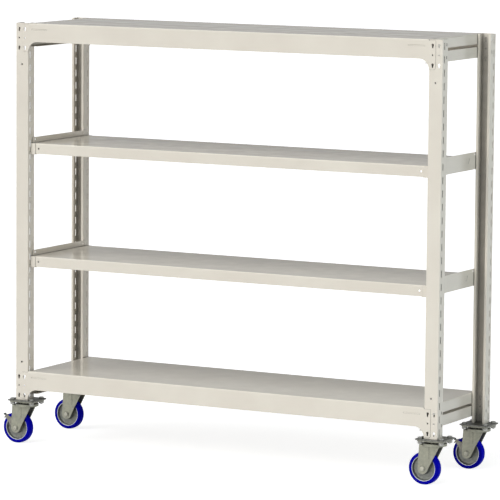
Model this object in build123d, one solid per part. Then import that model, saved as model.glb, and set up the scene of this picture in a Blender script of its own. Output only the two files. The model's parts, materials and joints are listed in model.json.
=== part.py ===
"""Mobile boltless steel shelving on four swivel casters, two of them braked.

Millimetres, +Z up, +X to the right, +Y to the back. The origin is at the centre of the floor
under the whole object. Every function builds its piece about the rack's own centre line, and
the finished pieces are moved together at the end.
"""
from build123d import *
import math
import os

os.makedirs("parts", exist_ok=True)

LEFT, RIGHT = -1, 1
FRONT, REAR = -1, 1
SIDE_NAMES = {LEFT: "left", RIGHT: "right"}
END_NAMES = {FRONT: "front", REAR: "rear"}
CORNERS = [(end, side) for end in (FRONT, REAR) for side in (LEFT, RIGHT)]
BRAKED = [(FRONT, LEFT), (REAR, RIGHT)]

# Rack
bay_width = 1800.0  # between the centre lines of the posts
rack_depth = 471.0  # over the webs of the front and rear posts
fit = 0.3  # free gap between pieces that are hooked or laid together
cut_over = 5.0  # how far a cutter runs past the sheet that it cuts
half_turn = 180.0

# Posts, lipped channels
post_width = 56.0
post_depth = 47.0
post_lip = 10.0
post_return = 15.0  # how far the edge of a lip is folded back into the post
post_wall = 1.6
post_bend = 2.4
post_height = 1500.0

# Row of slots in both flanges
slot_pitch = 50.0
slot_long = 28.0
slot_wide = 6.0
slot_from_web = 16.0

# Holes in the web of a post, measured down from the deck beside them
column_offset = 13.0  # the two columns stand this far from the middle of the web
keyhole_drops = (24.5, 98.0)
round_hole_drop = 58.5
keyhole_radius = 5.0
keyhole_neck = 6.0
keyhole_long = 17.0
round_hole_radius = 3.2
web_hole_radius = 4.0
web_hole_top_inset = 162.0  # from the top of the post
web_hole_foot_inset = 154.0  # from the foot of the post

# Hook slots near the ends of a post
hook_slot_long = 13.0
hook_slot_wide = 6.0
hook_from_web = 35.0
hook_drops = (20.0, 68.0)

# Top and bottom shelves
deck_sheet = 1.5
deck_edge_radius = 4.5
deck_side_height = 40.0
apron_height = 73.5
apron_return = 15.0
tab_height = 112.0
tab_foot_gap = 6.0  # from the bottom shelf's tabs to the base plates
tab_edge_gap = 1.0  # between the tab's edge and the middle of the post
tab_corner_radius = 8.0
gusset_radius = 40.0
groove_long = 70.0
groove_tall = 5.0
groove_deep = 0.9
groove_drop = 24.5
groove_inset = 16.5  # from the post to the near end of the groove

# Middle shelves
lower_middle_level = 577.0  # deck above the foot of the posts
upper_middle_level = 1026.0
middle_height = 42.0
middle_setback = 19.5  # from the face of the post to the face of the shelf
middle_return = 12.0
middle_hole_radius = 4.0
middle_hole_inset = 36.0
middle_hole_drop = 21.0

# Reinforcing channels welded under each deck
hat_width = 44.0
hat_height = 22.0
hat_sheet = 1.2
hat_brim = 12.0
hat_end_gap = 60.0
hat_spacing = 160.0

# Side beams under the top and bottom shelves
beam_height = 41.0
beam_drop = 92.0  # from the deck to the underside of the beam
beam_flange = 30.0
beam_wall = 2.0
beam_end_gap = 22.5  # from the face of the post to the end of the beam

# Studs that hook the beams and decks into the posts
stud_radius = 2.7
stud_head_radius = 4.6
stud_head = 2.0
stud_slack = 0.5

# Supports of the middle shelves
support_wall = 2.0
support_rise = 22.0  # how far the support stands above the deck
support_ledge = 25.0
support_end_gap = 30.5  # from the face of the post to the end of the upper part
support_return = 22.0
support_hole_radius = 4.0
support_hole_drop = 9.0
support_hole_from_lip = 4.5
nose_long = 7.0
nose_tall = 10.0
hook_tab_thick = 2.0
hook_tab_reach = 7.0
hook_tab_tall = 8.0
hook_tab_drop = 6.0
hook_tab_from_web = 34.0
hook_tab_slot_wide = 3.0
hook_tab_slot_long = 16.0
hook_tab_heights = (6.0, 44.0)  # undersides of the hook tabs above the ledge
pocket_wide = 30.0
pocket_narrow = 12.0
pocket_tall = 19.0
pocket_deep = 1.0
pocket_place = 121.0  # from the middle of the support
pocket_drop = 9.0  # from the deck to the middle of the pocket

# Base plates and caster plates
base_plate_x = 119.0
base_plate_y = 108.0
base_plate_thick = 4.5
plate_corner = 6.0
caster_inset = 39.5  # from the face of the post to the swivel axis
caster_plate_x = 108.0
caster_plate_y = 96.0
caster_plate_thick = 5.0
bolt_spacing_x = 87.0
bolt_spacing_y = 76.0
bolt_radius = 5.0
bolt_hole_radius = 5.4
bolt_flats = 17.0
bolt_head = 6.4
bolt_end = 2.5
nut_height = 8.0
washer_radius = 10.0
washer_thick = 2.0

# Casters
wheel_diameter = 125.0
tyre_width = 32.0
tyre_thick = 12.1
tyre_round = 4.0
caster_trail = 40.0
rim_thick = 4.8
rim_width = 30.0
rim_gap = 0.1
hub_web = 8.0
hub_boss_radius = 20.0
hub_boss_width = 32.0
bearing_radius = 15.95
bearing_width = 8.0
bearing_seat = 16.0
hub_bore = 9.0
sleeve_radius = 8.0
axle_radius = 5.0
pin_fit = 0.05
axle_flange_radius = 10.0
axle_flange = 2.0
axle_hex = 5.0
axle_flats = 16.0
fork_gap = 39.0  # between the cheeks
fork_wall = 4.0
fork_left = 55.0
fork_right = 30.0
fork_foot_radius = 20.0
fork_bend = 5.0
crown_above_axle = 93.5
rib_width = 12.0
rib_proud = 1.2
rib_top_gap = 6.0
rib_long = 47.0
rib_left = 19.5
race_height = 14.5
race_radius = 46.0
race_wall_height = 6.5
race_round = 2.0
cup_radius = 30.0
ball_radius = 4.3
ball_count = 14
king_radius = 6.0
king_head_radius = 10.0
king_head = 5.7

# Brake lever in front of the wheel, turning on a collar that stands off the axle's centre
brake_swing = 15.0
arm_angle = 40.0
collar_radius = 12.5
collar_offset = 6.0
lever_gap = 0.7
lever_wall = 2.0
lever_eye_radius = 22.0
lever_fit = 0.06
arm_reach = 62.0
arm_drop = 2.0
arm_end_radius = 5.5
shoe_gap = 2.0
shoe_thick = 3.0
shoe_span = 16.0
shoe_past_middle = 12.0  # how far the shoe reaches over the tread, past the wheel's middle
pedal_thick = 2.5
pedal_reach = 74.0
pedal_half_width = 5.0
cap_reach = 76.0
cap_long = 7.6
cap_half_width = 6.5
cap_thick = 6.0

# Worked out from the sizes above
bay_half = bay_width / 2
depth_half = rack_depth / 2
inner_edge = bay_half - post_width / 2
wheel_radius = wheel_diameter / 2
axle_height = wheel_radius
crown_top = axle_height + crown_above_axle
crown_under = crown_top - fork_wall
plate_under = crown_top + race_height
plate_top = plate_under + caster_plate_thick
post_foot = plate_top + base_plate_thick
post_top = post_foot + post_height
swivel_y = depth_half - caster_inset
deck_half_x = inner_edge - fit
deck_half_y = depth_half + deck_sheet
support_outer = inner_edge - fit
support_inner = support_outer - support_wall
middle_half_x = support_inner - fit
middle_half_y = depth_half - middle_setback
full_levels = {"bottom": post_foot + tab_foot_gap + tab_height, "top": post_top}
middle_decks = {"lower_middle": post_foot + lower_middle_level, "upper_middle": post_foot + upper_middle_level}
stud_y = depth_half - hook_from_web
cheek_face = fork_gap / 2 + fork_wall
lever_inside = tyre_width / 2 + lever_gap
lever_outside = lever_inside + lever_wall
lever_middle = lever_inside + lever_wall / 2
collar_inside = hub_boss_width / 2 + fit
rim_radius = wheel_radius - tyre_thick - rim_gap
cam_angle = half_turn - arm_angle + brake_swing / 2 - half_turn / 2
cam_x = collar_offset * math.cos(math.radians(cam_angle))
cam_z = collar_offset * math.sin(math.radians(cam_angle))


def block(xs, ys, zs):
    """Box between two places along each axis, given in any order."""
    low = [min(pair) for pair in (xs, ys, zs)]
    size = [abs(pair[1] - pair[0]) for pair in (xs, ys, zs)]
    return Pos(*low) * Box(*size, align=(Align.MIN, Align.MIN, Align.MIN))


def across(radius, length):
    """Cylinder about the Y axis."""
    return Rot(90, 0, 0) * Cylinder(radius, length)


def through_web(face):
    """Cutter along Y, from a face drawn in X and Z."""
    return extrude(Plane.XZ * face, amount=post_depth / 2, both=True)


def through_flange(face):
    """Cutter along X, from a face drawn in Y and Z."""
    return extrude(Plane.YZ * face, amount=cut_over, both=True)


def upright_slot(long, wide):
    """Slot with round ends, its long way up."""
    return Rot(0, 0, 90) * SlotOverall(long, wide)


def keyhole():
    """Round entry with a neck below it, centred on its whole height."""
    entry = Pos(0, keyhole_long / 2 - keyhole_radius) * Circle(keyhole_radius)
    neck_long = keyhole_long - keyhole_radius
    neck = Pos(0, neck_long / 2 - keyhole_long / 2) * upright_slot(neck_long, keyhole_neck)
    return entry + neck


def lipped_channel():
    """Section of a post, with its web on the X axis and its folded lips towards +Y."""
    middle = Pos(0, post_depth / 2)
    outside = middle * RectangleRounded(post_width, post_depth, post_bend)
    inside_width = post_width - 2 * post_wall
    inside_depth = post_depth - 2 * post_wall
    inside = middle * RectangleRounded(inside_width, inside_depth, post_bend - post_wall)
    mouth = Pos(0, post_depth) * Rectangle(post_width - 2 * post_lip, 3 * post_wall)
    section = outside - inside - mouth
    for way in (LEFT, RIGHT):
        across_fold = way * (post_width / 2 - post_lip + post_wall / 2)
        fold = Rectangle(post_wall, post_return)
        section += Pos(across_fold, post_depth - post_return / 2) * fold
    return section


def web_cutters(x, y):
    """Keyholes and round holes beside each full shelf, and the two holes on the centre line."""
    cutters = []
    for level in full_levels.values():
        for column in (x - column_offset, x + column_offset):
            for drop in keyhole_drops:
                cutters.append(Pos(column, y, level - drop) * through_web(keyhole()))
            place = Pos(column, y, level - round_hole_drop)
            cutters.append(place * through_web(Circle(round_hole_radius)))
    for height in (post_foot + web_hole_foot_inset, post_top - web_hole_top_inset):
        cutters.append(Pos(x, y, height) * through_web(Circle(web_hole_radius)))
    return cutters


def flange_cutters(x, y, inward):
    """The row of slots at one pitch, and the hook slots, in either flange of a post."""
    cutters = []
    slot = through_flange(upright_slot(slot_long, slot_wide))
    row_y = y + inward * slot_from_web
    count = int(post_height // slot_pitch)
    row_start = post_foot + (post_height - (count - 1) * slot_pitch) / 2
    for step in range(count):
        cutters.append(Pos(x, row_y, row_start + step * slot_pitch) * slot)
    return cutters + hook_cutters(x, y + inward * hook_from_web)


def hook_cutters(x, y):
    """Slots for the hook studs of the top and bottom shelves and their beams."""
    slot = through_flange(upright_slot(hook_slot_long, hook_slot_wide))
    levels = full_levels.values()
    return [Pos(x, y, level - drop) * slot for level in levels for drop in hook_drops]


def hook_tab_cutters(x, y, inward):
    """Slots behind the ends of the middle shelves' supports, in the flange that faces inwards."""
    cutters = []
    slot = through_flange(upright_slot(hook_tab_slot_long, hook_tab_slot_wide))
    tab_y = y + inward * hook_tab_from_web
    for deck in middle_decks.values():
        for height in hook_tab_heights:
            floor = deck - middle_height + height
            middle = floor + hook_tab_slot_long / 2 - hook_tab_drop - fit
            cutters.append(Pos(x, tab_y, middle) * slot)
    return cutters


def make_post(end, side):
    """One post, open towards the other post of its pair."""
    x = side * bay_half
    y = end * depth_half
    turn = 0 if end == FRONT else half_turn
    body = Pos(x, y, post_foot) * Rot(0, 0, turn) * extrude(lipped_channel(), post_height)
    inner_x = x - side * post_width / 2
    cutters = web_cutters(x, y)
    cutters += flange_cutters(x + side * post_width / 2, y, -end)
    cutters += flange_cutters(inner_x, y, -end)
    cutters += hook_tab_cutters(inner_x, y, -end)
    return body - cutters


def tray(half_x, half_y, level, height):
    """Deck with its four edges folded down."""
    skin = block((-half_x, half_x), (-half_y, half_y), (level - height, level))
    top_edges = skin.edges().group_by(Axis.Z)[-1]
    skin = fillet(top_edges, deck_edge_radius)
    inner_x = half_x - deck_sheet
    inner_y = half_y - deck_sheet
    low = level - height - cut_over
    hollow = block((-inner_x, inner_x), (-inner_y, inner_y), (low, level - deck_sheet))
    hollow_edges = hollow.edges().group_by(Axis.Z)[-1]
    return skin - fillet(hollow_edges, deck_edge_radius - deck_sheet)


def tab_outline(level, side):
    """End of an apron: a tab over the post, widening into the apron by a hollow curve."""
    inner = inner_edge - gusset_radius
    outer = bay_half - tab_edge_gap
    width = outer - inner
    top = level - deck_edge_radius
    low = level - tab_height
    tab = Pos(side * (inner + outer) / 2, (top + low) / 2) * Rectangle(width, top - low)
    bottom_corners = tab.vertices().group_by(Axis.Y)[0]
    corner = bottom_corners.sort_by(Axis.X)[-1 if side == RIGHT else 0]
    tab = fillet(corner, tab_corner_radius)
    curve_z = level - apron_height - gusset_radius
    return tab - Pos(side * inner, curve_z) * Circle(gusset_radius)


def tab_holes(level, side, y):
    """Holes of a front tab, in line with the inner column of the web's holes."""
    column = side * (bay_half - column_offset)
    holes = [Pos(column, y, level - drop) * through_web(keyhole()) for drop in keyhole_drops]
    place = Pos(column, y, level - round_hole_drop)
    return holes + [place * through_web(Circle(round_hole_radius))]


def apron(level, end):
    """Front or rear apron of a full shelf, with tabs, lower return and grooves, holed in front."""
    outer_y = end * deck_half_y
    inner_y = end * depth_half
    straight = inner_edge - gusset_radius
    low = level - apron_height
    band = block((-deck_half_x, deck_half_x), (inner_y, outer_y), (low, level - deck_side_height / 2))
    back = inner_y - end * apron_return
    fold = block((-straight, straight), (inner_y, back), (low, low + deck_sheet))
    plate = band + fold
    for side in (LEFT, RIGHT):
        outline = Plane.XZ * tab_outline(level, side)
        sheet = extrude(outline, amount=deck_sheet / 2, both=True)
        plate += Pos(0, (inner_y + outer_y) / 2, 0) * sheet
    cutters = []
    for side in (LEFT, RIGHT):
        if end == FRONT:
            cutters += tab_holes(level, side, outer_y)
        near = side * (inner_edge - groove_inset)
        far = near - side * groove_long
        middle = level - groove_drop
        heights = (middle - groove_tall / 2, middle + groove_tall / 2)
        cutters.append(block((near, far), (outer_y - end * groove_deep, outer_y + end * cut_over), heights))
    return plate, cutters


def make_full_shelf(level):
    """Top or bottom shelf: a tray whose front and rear edges are deep aprons."""
    shelf = tray(deck_half_x, deck_half_y, level, deck_side_height)
    cutters = []
    for end in (FRONT, REAR):
        plate, holes = apron(level, end)
        shelf += plate
        cutters += holes
    return shelf - cutters


def make_middle_shelf(deck):
    """Middle shelf: a tray with a return along its long edges and a hole near each corner."""
    low = deck - middle_height
    shelf = tray(middle_half_x, middle_half_y, deck, middle_height)
    inner_y = middle_half_y - deck_sheet
    for end in (FRONT, REAR):
        ys = (end * inner_y, end * (inner_y - middle_return))
        inner_x = middle_half_x - deck_sheet
        shelf += block((-inner_x, inner_x), ys, (low, low + deck_sheet))
    drill = across(middle_hole_radius, cut_over)
    for end in (FRONT, REAR):
        for side in (LEFT, RIGHT):
            x = side * (inner_edge - middle_hole_inset)
            shelf -= Pos(x, end * middle_half_y, deck - middle_hole_drop) * drill
    return shelf


def make_stiffeners(level, half_x):
    """Two hat channels lying along the underside of a deck."""
    under = level - deck_sheet
    length = half_x - hat_end_gap
    hats = []
    for end in (FRONT, REAR):
        y = end * hat_spacing / 2
        half = hat_width / 2
        shell = block((-length, length), (y - half, y + half), (under - hat_height, under))
        inner = half - hat_sheet
        hollow = (under - hat_height + hat_sheet, under + cut_over)
        past = length + cut_over
        shell -= block((-past, past), (y - inner, y + inner), hollow)
        for way in (FRONT, REAR):
            ys = (y + way * inner, y + way * (half + hat_brim))
            shell += block((-length, length), ys, (under - hat_sheet, under))
        hats.append(shell)
    return hats


def make_side_beam(level, side):
    """Channel that ties the front and rear posts under a full shelf, open towards the bay."""
    low = level - beam_drop
    outer = side * (inner_edge - fit)
    inner = outer - side * beam_flange
    half_y = depth_half - beam_end_gap
    beam = block((outer, inner), (-half_y, half_y), (low, low + beam_height))
    hollow = (low + beam_wall, low + beam_height - beam_wall)
    past = half_y + cut_over
    return beam - block((outer - side * beam_wall, inner - side * cut_over), (-past, past), hollow)


def make_hook_studs():
    """Studs on the decks' sides and on the beams, with their heads behind the posts' flanges."""
    reach = fit + post_wall + stud_slack
    start = inner_edge - fit
    studs = []
    for level in full_levels.values():
        for drop in hook_drops:
            for end, side in CORNERS:
                shank = Pos(start + reach / 2, 0, 0) * Rot(0, 90, 0) * Cylinder(stud_radius, reach)
                head_x = start + reach + stud_head / 2
                head = Pos(head_x, 0, 0) * Rot(0, 90, 0) * Cylinder(stud_head_radius, stud_head)
                turn = 0 if side == RIGHT else half_turn
                place = Pos(0, end * stud_y, level - drop)
                studs.append(place * Rot(0, 0, turn) * (shank + head))
    return studs


def make_support(deck, side):
    """Angle that carries one end of a middle shelf, hooked on the inner flanges of two posts."""
    low = deck - middle_height - support_wall
    outer = side * support_outer
    inner = side * support_inner
    half_y = depth_half - support_end_gap
    body = block((outer, inner), (-half_y, half_y), (low, deck + support_rise))
    return_face = middle_half_y + fit + support_wall
    ledge = outer - side * support_ledge
    body += block((outer, ledge), (-return_face, return_face), (low, low + support_wall))
    for end in (FRONT, REAR):
        front = end * return_face
        back = end * (return_face - support_wall)
        body += block((outer, outer - side * support_return), (front, back), (low, deck))
        body += block((outer, inner), (front, end * half_y), (low, deck))
        nose = end * (return_face + nose_long)
        body += block((outer, inner), (front, nose), (low, low + nose_tall))
        body += hook_tabs(low + support_wall, side, end)
        hole_y = end * (depth_half - post_depth - support_hole_from_lip)
        hole = Rot(0, 90, 0) * Cylinder(support_hole_radius, cut_over)
        body -= Pos(outer, hole_y, deck + support_rise - support_hole_drop) * hole
        body -= support_pocket(deck, side, end)
    return body


def hook_tabs(ledge_top, side, end):
    """Two tabs bent out of a support, through the post's flange and down behind it."""
    tab_y = end * (depth_half - hook_tab_from_web)
    ys = (tab_y - hook_tab_thick / 2, tab_y + hook_tab_thick / 2)
    root = side * support_inner
    tip = side * (support_outer + hook_tab_reach)
    behind = side * (inner_edge + post_wall + fit)
    tabs = []
    for height in hook_tab_heights:
        floor = ledge_top + height
        tabs.append(block((root, tip), ys, (floor, floor + hook_tab_tall)))
        tabs.append(block((behind, tip), ys, (floor - hook_tab_drop, floor + hook_tab_tall)))
    return tabs


def support_pocket(deck, side, end):
    """Shallow pressed pocket, narrower at its foot, in the outer face of a support."""
    half_wide = pocket_wide / 2
    half_narrow = pocket_narrow / 2
    half_tall = pocket_tall / 2
    points = [(-half_wide, half_tall), (half_wide, half_tall), (half_narrow, -half_tall)]
    points.append((-half_narrow, -half_tall))
    face = Plane.YZ * make_face(Polyline(*points, close=True))
    cutter = extrude(face, amount=pocket_deep, both=True)
    return Pos(side * support_outer, end * pocket_place, deck - pocket_drop) * cutter


def plate(size_x, size_y, thick, low):
    """Flat plate with rounded corners and four bolt holes, about the swivel axis."""
    body = extrude(RectangleRounded(size_x, size_y, plate_corner), thick)
    hole = Cylinder(bolt_hole_radius, 3 * thick)
    return Pos(0, 0, low) * (body - [Pos(x, y, 0) * hole for x, y in bolt_places()])


def bolt_places():
    """The four bolts about a swivel axis."""
    half_x = bolt_spacing_x / 2
    half_y = bolt_spacing_y / 2
    return [(x, y) for x in (-half_x, half_x) for y in (-half_y, half_y)]


def make_caster_plate():
    """Top plate of a caster with the cup that its ball race runs on."""
    body = plate(caster_plate_x, caster_plate_y, caster_plate_thick, plate_under)
    cup_low = crown_top + fit
    body += Pos(0, 0, (cup_low + plate_under) / 2) * Cylinder(cup_radius, plate_under - cup_low)
    bore_long = plate_top - cup_low + cut_over
    bore = Pos(0, 0, (cup_low + plate_top) / 2) * Cylinder(king_radius + pin_fit, bore_long)
    return body - bore


def make_king_pin():
    """Pin that holds the fork up against the ball race."""
    head_top = crown_under - fit
    shank = Pos(0, 0, (head_top + plate_top) / 2) * Cylinder(king_radius, plate_top - head_top)
    head = Pos(0, 0, head_top - king_head / 2) * Cylinder(king_head_radius, king_head)
    return shank + head


def make_balls():
    """Ring of balls between the cup and the fork's race."""
    ring = cup_radius + fit + ball_radius
    height = crown_top + fit + ball_radius
    balls = []
    for number in range(ball_count):
        turn = Rot(0, 0, 2 * half_turn * number / ball_count)
        balls.append(turn * Pos(ring, 0, height) * Sphere(ball_radius))
    return balls


def make_fork():
    """Pressed fork: crown, ball race, two cheeks with a rib each, and the axle's eyes."""
    foot = Pos(-caster_trail, axle_height) * Circle(fork_foot_radius)
    crown_line = Line((-fork_left, crown_top), (fork_right, crown_top))
    outline = make_hull([*foot.edges(), crown_line])
    body = extrude(Plane.XZ * outline, amount=cheek_face, both=True)
    ridge = body.edges().filter_by(Axis.X).group_by(Axis.Z)[-1]
    body = fillet(ridge, fork_bend)
    past = fork_left + fork_foot_radius
    half_gap = fork_gap / 2
    body -= block((-past, past), (-half_gap, half_gap), (-cut_over, crown_under))
    race = Pos(0, 0, crown_under) * race_ring()
    body += race
    body -= Pos(0, 0, crown_top) * Cylinder(king_radius + pin_fit, 4 * fork_wall)
    eye = across(axle_radius + pin_fit, 4 * cheek_face)
    body -= Pos(-caster_trail, 0, axle_height) * eye
    for way in (FRONT, REAR):
        body += Pos(-rib_left, way * cheek_face, 0) * rib()
    return body


def race_ring():
    """Crown disc with the raised wall that keeps the balls in."""
    tall = fork_wall + race_wall_height
    disc = extrude(Circle(race_radius), tall)
    disc = fillet(disc.edges().group_by(Axis.Z)[-1], race_round)
    inside = cup_radius + 2 * ball_radius + 2 * fit
    pit = Pos(0, 0, fork_wall) * extrude(Circle(inside), tall)
    return disc - pit


def rib():
    """Upright pressed rib on a cheek, centred on the cheek's outer face."""
    middle = crown_top - rib_top_gap - rib_long / 2
    face = Plane.XZ * Pos(0, middle) * upright_slot(rib_long, rib_width)
    return extrude(face, amount=rib_proud, both=True)


def about_axle(piece):
    """Moves a piece drawn about the origin to the wheel's centre."""
    return Pos(-caster_trail, 0, axle_height) * piece


def make_tyre():
    """Solid tread ring with rounded shoulders."""
    ring = across(wheel_radius, tyre_width)
    ring = fillet(ring.edges(), tyre_round)
    return about_axle(ring - across(wheel_radius - tyre_thick, 2 * tyre_width))


def make_hub():
    """Wheel centre: rim, thin web and boss with two bearing seats."""
    rim_inner = rim_radius - rim_thick
    rim = across(rim_radius, rim_width) - across(rim_inner, 2 * rim_width)
    rim = chamfer(rim.edges(), rim_thick / 4)
    web = across(rim_inner + rim_thick / 2, hub_web)
    boss = across(hub_boss_radius, hub_boss_width)
    boss = chamfer(boss.edges(), rim_thick / 4)
    body = rim + web + boss - across(hub_bore, 2 * hub_boss_width)
    seat_long = bearing_width + fit
    seat_y = hub_boss_width / 2 - seat_long / 2
    for way in (FRONT, REAR):
        seat = across(bearing_seat, seat_long)
        body -= Pos(0, way * seat_y, 0) * seat
    return about_axle(body)


def make_bearings():
    """The two bearing rings of a wheel, on the axle's sleeve."""
    rings = []
    for way in (FRONT, REAR):
        ring = across(bearing_radius, bearing_width)
        ring -= across(sleeve_radius + pin_fit, 2 * bearing_width)
        middle = hub_boss_width / 2 - bearing_width / 2
        rings.append(about_axle(Pos(0, way * middle, 0) * ring))
    return rings


def hexagon(flats):
    """Hexagon by its width across flats."""
    return RegularPolygon(flats / 2, 6, major_radius=False)


def make_axle(braked):
    """Axle bolt, its nut and the sleeve between the cheeks, with a collar under a brake."""
    head_end = cheek_face + axle_flange + axle_hex
    bolt = across(axle_radius, 2 * head_end)
    head = axle_head(cheek_face)
    bolt += Rot(0, 0, half_turn) * head
    bore = across(axle_radius + pin_fit, 4 * head_end)
    nut = head - bore
    front = -collar_inside if braked else -fork_gap / 2
    sleeve = along_axle(sleeve_radius, front, fork_gap / 2) - bore
    pieces = [bolt, nut, sleeve]
    if braked:
        collar = Pos(cam_x, 0, cam_z) * along_axle(collar_radius, -fork_gap / 2, -collar_inside)
        pieces.append(collar - bore)
    return [about_axle(piece) for piece in pieces]


def along_axle(radius, front, rear):
    """Cylinder about the Y axis between two places on it."""
    return Pos(0, (front + rear) / 2, 0) * across(radius, rear - front)


def axle_head(seat):
    """Flanged hexagon that sits on the rear cheek."""
    flange = Pos(0, seat + axle_flange / 2, 0) * across(axle_flange_radius, axle_flange)
    low = seat + axle_flange
    six = extrude(Plane.XZ * hexagon(axle_flats), amount=-axle_hex)
    return flange + Pos(0, low, 0) * six


def make_brake_lever():
    """Plate between the wheel and the front cheek, with the shoe over the tread and the pedal."""
    eye = Circle(lever_eye_radius)
    arm_end = Pos(-arm_reach, -arm_drop) * Circle(arm_end_radius)
    outline = make_hull([*eye.edges(), *arm_end.edges()])
    outline -= Circle(collar_radius + lever_fit)
    body = Pos(0, -lever_middle, 0) * extrude(Plane.XZ * outline, amount=lever_wall / 2, both=True)
    body += brake_shoe()
    pedal_root = wheel_radius + shoe_gap + shoe_thick / 2
    ys = (-lever_middle - pedal_half_width, -lever_middle + pedal_half_width)
    body += block((-pedal_reach, -pedal_root), ys, (-pedal_thick / 2, pedal_thick / 2))
    return turned_lever(body)


def brake_shoe():
    """Curved bar across the tread, centred on the wheel while the brake is free."""
    wheel = wheel_in_lever()
    inner = wheel_radius + shoe_gap
    outer = inner + shoe_thick
    ring = along_axle(outer, -lever_outside, shoe_past_middle)
    ring -= across(inner, 4 * lever_outside)
    window = block((-2 * outer, 0), (-2 * outer, 2 * outer), (-shoe_span / 2, shoe_span / 2))
    return wheel * (ring & window)


def wheel_in_lever():
    """Place of the wheel's centre in the lever's own frame, where the arm points along -X."""
    return Rot(0, -arm_angle, 0) * Pos(-cam_x, 0, -cam_z) * Rot(0, arm_angle, 0)


def turned_lever(body):
    """Raises a lever's arm and puts its eye on the collar."""
    return about_axle(Pos(cam_x, 0, cam_z) * Rot(0, arm_angle, 0) * body)


def make_pedal_cap():
    """Moulded cap over the end of the pedal."""
    xs = (-cap_reach, cap_long - cap_reach)
    half = cap_thick / 2
    cap = block(xs, (-cap_half_width, cap_half_width), (-half, half))
    cap = fillet(cap.edges().filter_by(Axis.Y), half / 2)
    slit = (-pedal_thick / 2, pedal_thick / 2)
    inside = block((-pedal_reach, 0), (-pedal_half_width, pedal_half_width), slit)
    return turned_lever(Pos(0, -lever_middle, 0) * (cap - inside))


def caster_bolt_sets():
    """Bolts, nuts and washers of one caster, about its swivel axis."""
    bolts, nuts, washers = [], [], []
    washer_low = plate_under - washer_thick
    nut_low = washer_low - nut_height
    for x, y in bolt_places():
        place = Pos(x, y, 0)
        shank_low = nut_low - bolt_end
        shank = Pos(0, 0, shank_low) * extrude(Circle(bolt_radius), post_foot - shank_low)
        head = Pos(0, 0, post_foot) * extrude(hexagon(bolt_flats), bolt_head)
        bolts.append(place * (shank + head))
        bore = Pos(0, 0, nut_low) * extrude(Circle(bolt_radius + pin_fit), 2 * nut_height)
        nut = Pos(0, 0, nut_low) * extrude(hexagon(bolt_flats), nut_height)
        nuts.append(place * (nut - bore))
        washer = Pos(0, 0, washer_low) * extrude(Circle(washer_radius), washer_thick)
        washers.append(place * (washer - bore))
    return bolts, nuts, washers


def build_rack():
    """Posts, shelves, beams, supports and studs by node name."""
    nodes = {}
    for end, side in CORNERS:
        nodes[f"post_{END_NAMES[end]}_{SIDE_NAMES[side]}"] = [make_post(end, side)]
    for name, level in full_levels.items():
        nodes[f"{name}_shelf"] = [make_full_shelf(level)]
        nodes[f"{name}_shelf_stiffeners"] = make_stiffeners(level, deck_half_x)
        for side in (LEFT, RIGHT):
            nodes[f"{name}_beam_{SIDE_NAMES[side]}"] = [make_side_beam(level, side)]
    for name, deck in middle_decks.items():
        nodes[f"{name}_shelf"] = [make_middle_shelf(deck)]
        nodes[f"{name}_shelf_stiffeners"] = make_stiffeners(deck, middle_half_x)
        for side in (LEFT, RIGHT):
            nodes[f"{name}_support_{SIDE_NAMES[side]}"] = [make_support(deck, side)]
    nodes["shelf_hook_studs"] = make_hook_studs()
    return nodes


def build_casters():
    """Base plates, casters and their fasteners by node name."""
    nodes = {}
    groups = {"king_pins": [], "swivel_balls": []}
    groups.update({"caster_bolts": [], "caster_nuts": [], "caster_washers": []})
    for end, side in CORNERS:
        place = Pos(side * bay_half, end * swivel_y, 0)
        corner = f"{END_NAMES[end]}_{SIDE_NAMES[side]}"
        braked = (end, side) in BRAKED
        base = plate(base_plate_x, base_plate_y, base_plate_thick, plate_top)
        nodes[f"base_plate_{corner}"] = [place * base]
        nodes[f"caster_plate_{corner}"] = [place * make_caster_plate()]
        nodes[f"fork_{corner}"] = [place * make_fork()]
        nodes[f"axle_{corner}"] = [place * piece for piece in make_axle(braked)]
        nodes[f"wheel_hub_{corner}"] = [place * make_hub()]
        nodes[f"wheel_tyre_{corner}"] = [place * make_tyre()]
        nodes[f"wheel_bearings_{corner}"] = [place * ring for ring in make_bearings()]
        if braked:
            nodes[f"brake_lever_{corner}"] = [place * make_brake_lever()]
            nodes[f"brake_pedal_cap_{corner}"] = [place * make_pedal_cap()]
        groups["king_pins"].append(place * make_king_pin())
        groups["swivel_balls"] += [place * ball for ball in make_balls()]
        for key, pieces in zip(("caster_bolts", "caster_nuts", "caster_washers"), caster_bolt_sets()):
            groups[key] += [place * piece for piece in pieces]
    return {**nodes, **groups}


def centred(nodes):
    """Moves every piece so that the origin is under the middle of the whole object."""
    boxes = [piece.bounding_box() for pieces in nodes.values() for piece in pieces]
    low_x = min(box.min.X for box in boxes)
    high_x = max(box.max.X for box in boxes)
    low_y = min(box.min.Y for box in boxes)
    high_y = max(box.max.Y for box in boxes)
    shift = Pos(-(low_x + high_x) / 2, -(low_y + high_y) / 2, 0)
    print("rack centre", -(low_x + high_x) / 2, -(low_y + high_y) / 2)
    return {name: [shift * piece for piece in pieces] for name, pieces in nodes.items()}


for name, pieces in centred({**build_rack(), **build_casters()}).items():
    export_step(Compound(pieces), f"parts/{name}.step")

print("feet of posts", post_foot, "swivel axes at x", bay_half, "y", swivel_y)
print("brake pivot from axle", cam_x, cam_z)
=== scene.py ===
import json
import logging
import math
from dataclasses import dataclass
from enum import Enum

import bmesh
import bpy
from mathutils import Matrix, Vector

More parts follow.
